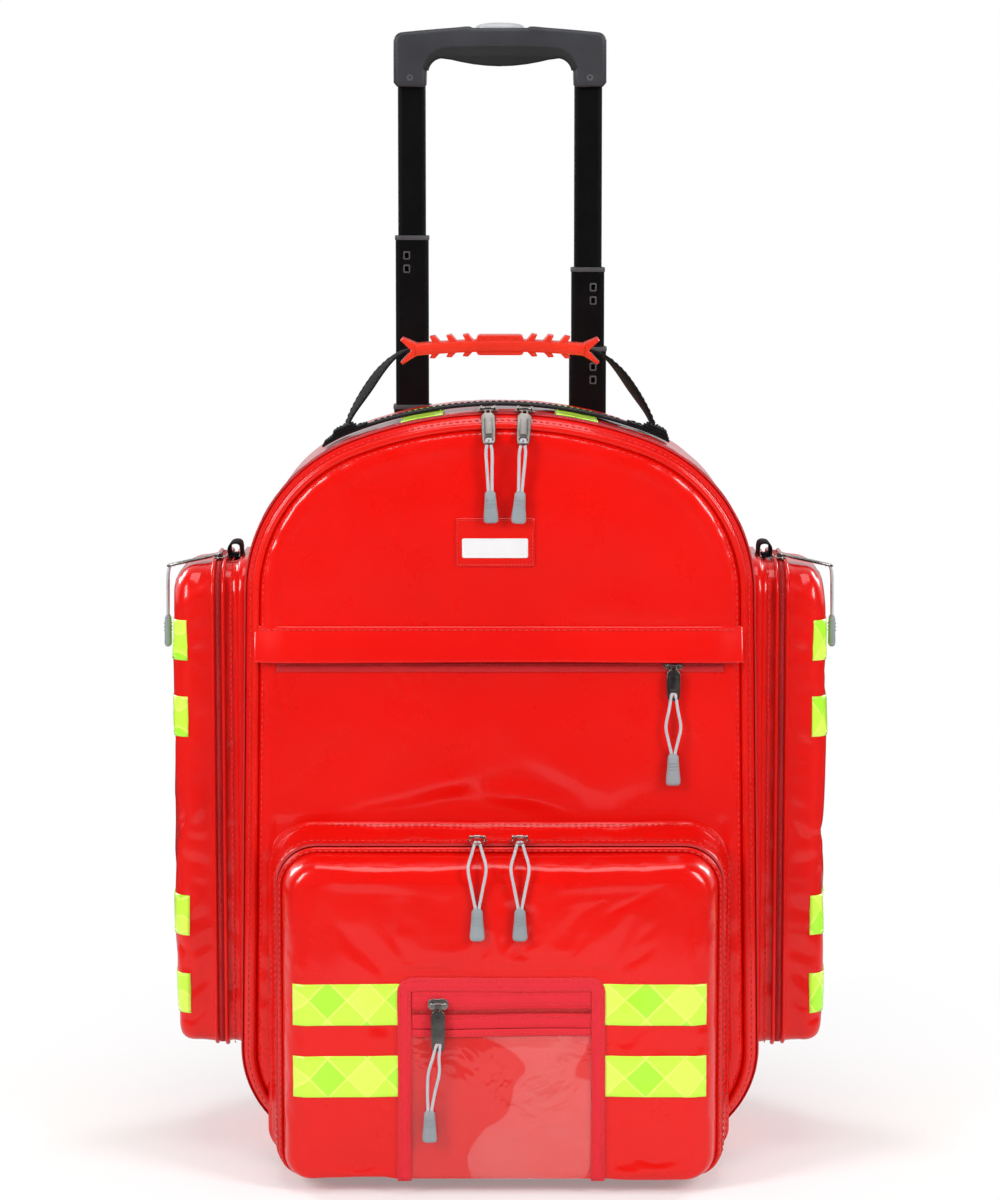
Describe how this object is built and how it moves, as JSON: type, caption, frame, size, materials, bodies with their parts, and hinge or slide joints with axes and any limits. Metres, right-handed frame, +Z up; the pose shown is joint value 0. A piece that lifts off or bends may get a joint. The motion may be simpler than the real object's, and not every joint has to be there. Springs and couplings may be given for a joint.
{
  "type": "trauma backpack",
  "caption": "Wheeled emergency backpack with an arched zip lid, a front pocket, side pockets, a carry handle and a telescopic trolley handle.",
  "frame": {"origin": "on the floor, at the middle of the base tray's flat underside", "axes": "+Z up, -Y towards the front pocket, +X to the right seen from the front"},
  "size_m": [0.4908, 0.354, 0.8275],
  "materials": {
    "red_pvc": "glossy coated tarpaulin",
    "crimson_tape": "woven zip tape and binding",
    "black_web": "woven webbing",
    "black_pad": "padded mesh fabric",
    "lime_tape": "prismatic reflective film",
    "board": "extruded board",
    "tray": "moulded, fine grain",
    "tube_black": "satin black anodised",
    "grip_grey": "moulded, fine grain",
    "button_grey": "moulded",
    "steel": "bright",
    "clear_vinyl": "clear flexible sheet",
    "red_rubber": "moulded",
    "tyre_rubber": "moulded",
    "hub_plastic": "moulded",
    "slider_metal": "gunmetal nickel",
    "pull_cord": "cord and moulded end"
  },
  "bodies": {
    "pack": {"main_shell": "red_pvc", "rear_zip_tapes": "crimson_tape", "back_board": "board", "black_webbing": "black_web", "top_tapes": "lime_tape", "side_base_left": "red_pvc", "side_base_right": "red_pvc", "outer_tubes": "tube_black", "tube_bracket": "tray", "base_tray": "tray", "wheel_axles": "steel", "back_pad": "black_pad", "shoulder_straps": "black_pad", "strap_buckles": "tray", "frame_screws": "steel"},
    "main_lid": {"lid_panel": "red_pvc", "lid_zip_tapes": "crimson_tape", "zip_flap": "red_pvc", "pocket_base": "red_pvc"},
    "pocket_lid": {"pocket_front": "red_pvc", "pocket_zip_tapes": "crimson_tape", "window_sheet": "clear_vinyl", "window_binding": "crimson_tape", "pocket_tapes": "lime_tape"},
    "side_lid_l": {"side_lid_left": "red_pvc", "side_tapes_left": "lime_tape"},
    "side_lid_r": {"side_lid_right": "red_pvc", "side_tapes_right": "lime_tape"},
    "lower_stage_l": {"lower_tube_left": "tube_black"},
    "lower_stage_r": {"lower_tube_right": "tube_black"},
    "mid_stage_l": {"mid_tube_left": "tube_black"},
    "mid_stage_r": {"mid_tube_right": "tube_black"},
    "trolley_handle": {"inner_tubes": "tube_black", "handle_grip": "grip_grey", "button_spring": "steel"},
    "release_button": {"handle_button": "button_grey", "push_rods": "steel"},
    "lock_pin_pair": {"lock_pins": "steel"},
    "wheel_l": {"tyre_left": "tyre_rubber", "hub_left": "hub_plastic"},
    "wheel_r": {"tyre_right": "tyre_rubber", "hub_right": "hub_plastic"},
    "carry_handle": {"handle_webbing": "black_web", "carry_grip": "red_rubber"},
    "main_zip_l": {"main_slider_left": "slider_metal"},
    "main_zip_r": {"main_slider_right": "slider_metal"},
    "main_tab_l": {"main_pull_left": "pull_cord"},
    "main_tab_r": {"main_pull_right": "pull_cord"},
    "pocket_zip_l": {"pocket_slider_left": "slider_metal"},
    "pocket_zip_r": {"pocket_slider_right": "slider_metal"},
    "pocket_tab_l": {"pocket_pull_left": "pull_cord"},
    "pocket_tab_r": {"pocket_pull_right": "pull_cord"},
    "flap_zip": {"flap_slider": "slider_metal"},
    "flap_tab": {"flap_pull": "pull_cord"},
    "window_zip": {"window_slider": "slider_metal"},
    "window_tab": {"window_pull": "pull_cord"},
    "side_zip_l": {"side_slider_left": "slider_metal"},
    "side_zip_r": {"side_slider_right": "slider_metal"},
    "side_tab_l": {"side_pull_left": "pull_cord"},
    "side_tab_r": {"side_pull_right": "pull_cord"}
  },
  "joints": [
    {"name": "main_lid_hinge", "type": "hinge", "parent": "pack", "child": "main_lid", "pos_m": [0, -0.08, 0.009], "axis": [1, 0, 0], "range_deg": [0, 100]},
    {"name": "pocket_lid_hinge", "type": "hinge", "parent": "main_lid", "child": "pocket_lid", "pos_m": [0, -0.1403, 0.008], "axis": [1, 0, 0], "range_deg": [0, 80]},
    {"name": "side_lid_left_hinge", "type": "hinge", "parent": "pack", "child": "side_lid_l", "pos_m": [-0.204, 0, 0.0795], "axis": [0, -1, 0], "range_deg": [0, 92]},
    {"name": "side_lid_right_hinge", "type": "hinge", "parent": "pack", "child": "side_lid_r", "pos_m": [0.204, 0, 0.0795], "axis": [0, 1, 0], "range_deg": [0, 92]},
    {"name": "trolley_slide", "type": "slide", "parent": "pack", "child": "trolley_handle", "axis": [0, 0, 1], "range_m": [-0.245, 0.17]},
    {"name": "mid_left_slide", "type": "slide", "parent": "pack", "child": "mid_stage_l", "axis": [0, 0, 1], "range_m": [-0.14, 0.1]},
    {"name": "mid_right_slide", "type": "slide", "parent": "pack", "child": "mid_stage_r", "axis": [0, 0, 1], "range_m": [-0.115, 0.08]},
    {"name": "lower_left_slide", "type": "slide", "parent": "pack", "child": "lower_stage_l", "axis": [0, 0, 1], "range_m": [-0.0145, 0.0105]},
    {"name": "lower_right_slide", "type": "slide", "parent": "pack", "child": "lower_stage_r", "axis": [0, 0, 1], "range_m": [-0.0585, 0.041]},
    {"name": "release_button_press", "type": "slide", "parent": "trolley_handle", "child": "release_button", "axis": [0, 0, 1], "range_m": [-0.0035, 0], "stiffness_N_per_m": 400, "deforming": ["button_spring"]},
    {"name": "lock_pin_slide", "type": "slide", "parent": "trolley_handle", "child": "lock_pin_pair", "axis": [0, 1, 0], "range_m": [-0.0028, 0]},
    {"name": "wheel_left_spin", "type": "hinge", "parent": "pack", "child": "wheel_l", "pos_m": [-0.121, 0.126, 0.032], "axis": [1, 0, 0], "continuous": true},
    {"name": "wheel_right_spin", "type": "hinge", "parent": "pack", "child": "wheel_r", "pos_m": [0.121, 0.126, 0.032], "axis": [1, 0, 0], "continuous": true},
    {"name": "carry_handle_hinge", "type": "hinge", "parent": "pack", "child": "carry_handle", "pos_m": [0, -0.02, 0.533], "axis": [1, 0, 0], "range_deg": [-50, 50]},
    {"name": "main_zip_left_run", "type": "hinge", "parent": "main_lid", "child": "main_zip_l", "pos_m": [0, -0.08, 0.247], "axis": [0, -1, 0], "range_deg": [0, 18]},
    {"name": "main_zip_right_run", "type": "hinge", "parent": "main_lid", "child": "main_zip_r", "pos_m": [0, -0.08, 0.247], "axis": [0, 1, 0], "range_deg": [0, 16]},
    {"name": "main_pull_left_flip", "type": "hinge", "parent": "main_zip_l", "child": "main_tab_l", "pos_m": [-0.0086, -0.0862, 0.55028], "axis": [-0.9996, 0, -0.0283], "range_deg": [0, 155]},
    {"name": "main_pull_right_flip", "type": "hinge", "parent": "main_zip_r", "child": "main_tab_r", "pos_m": [0.0177, -0.0862, 0.54988], "axis": [-0.9983, 0, 0.0583], "range_deg": [0, 155]},
    {"name": "pocket_zip_left_run", "type": "slide", "parent": "pocket_lid", "child": "pocket_zip_l", "axis": [-1, 0, 0], "range_m": [0, 0.09]},
    {"name": "pocket_pull_left_flip", "type": "hinge", "parent": "pocket_zip_l", "child": "pocket_tab_l", "pos_m": [-0.016, -0.1403, 0.2507], "axis": [-1, 0, 0], "range_deg": [0, 150]},
    {"name": "pocket_zip_right_run", "type": "slide", "parent": "pocket_lid", "child": "pocket_zip_r", "axis": [1, 0, 0], "range_m": [0, 0.09]},
    {"name": "pocket_pull_right_flip", "type": "hinge", "parent": "pocket_zip_r", "child": "pocket_tab_r", "pos_m": [0.014, -0.1403, 0.2507], "axis": [-1, 0, 0], "range_deg": [0, 150]},
    {"name": "flap_zip_run", "type": "slide", "parent": "main_lid", "child": "flap_zip", "axis": [-1, 0, 0], "range_m": [0, 0.27]},
    {"name": "flap_pull_flip", "type": "hinge", "parent": "flap_zip", "child": "flap_tab", "pos_m": [0.124, -0.0993, 0.368], "axis": [-1, 0, 0], "range_deg": [0, 85]},
    {"name": "window_zip_run", "type": "slide", "parent": "pocket_lid", "child": "window_zip", "axis": [1, 0, 0], "range_m": [0, 0.095]},
    {"name": "window_pull_flip", "type": "hinge", "parent": "window_zip", "child": "window_tab", "pos_m": [-0.0435, -0.1759, 0.1375], "axis": [-1, 0, 0], "range_deg": [0, 150]},
    {"name": "side_zip_left_run", "type": "slide", "parent": "side_lid_l", "child": "side_zip_l", "axis": [0, 1, 0], "range_m": [0, 0.055]},
    {"name": "side_pull_left_flip", "type": "hinge", "parent": "side_zip_l", "child": "side_tab_l", "pos_m": [-0.204, -0.03, 0.4397], "axis": [0, 1, 0], "range_deg": [0, 100]},
    {"name": "side_zip_right_run", "type": "slide", "parent": "side_lid_r", "child": "side_zip_r", "axis": [0, 1, 0], "range_m": [0, 0.055]},
    {"name": "side_pull_right_flip", "type": "hinge", "parent": "side_zip_r", "child": "side_tab_r", "pos_m": [0.204, -0.03, 0.4397], "axis": [0, -1, 0], "range_deg": [0, 100]}
  ],
  "couplings": [
    {"joint": "mid_left_slide", "follows": "trolley_slide", "ratio": 0.55918},
    {"joint": "mid_right_slide", "follows": "trolley_slide", "ratio": 0.46122},
    {"joint": "lower_left_slide", "follows": "trolley_slide", "ratio": 0.057143},
    {"joint": "lower_right_slide", "follows": "trolley_slide", "ratio": 0.23674},
    {"joint": "lock_pin_slide", "follows": "release_button_press", "ratio": 0.8}
  ]
}
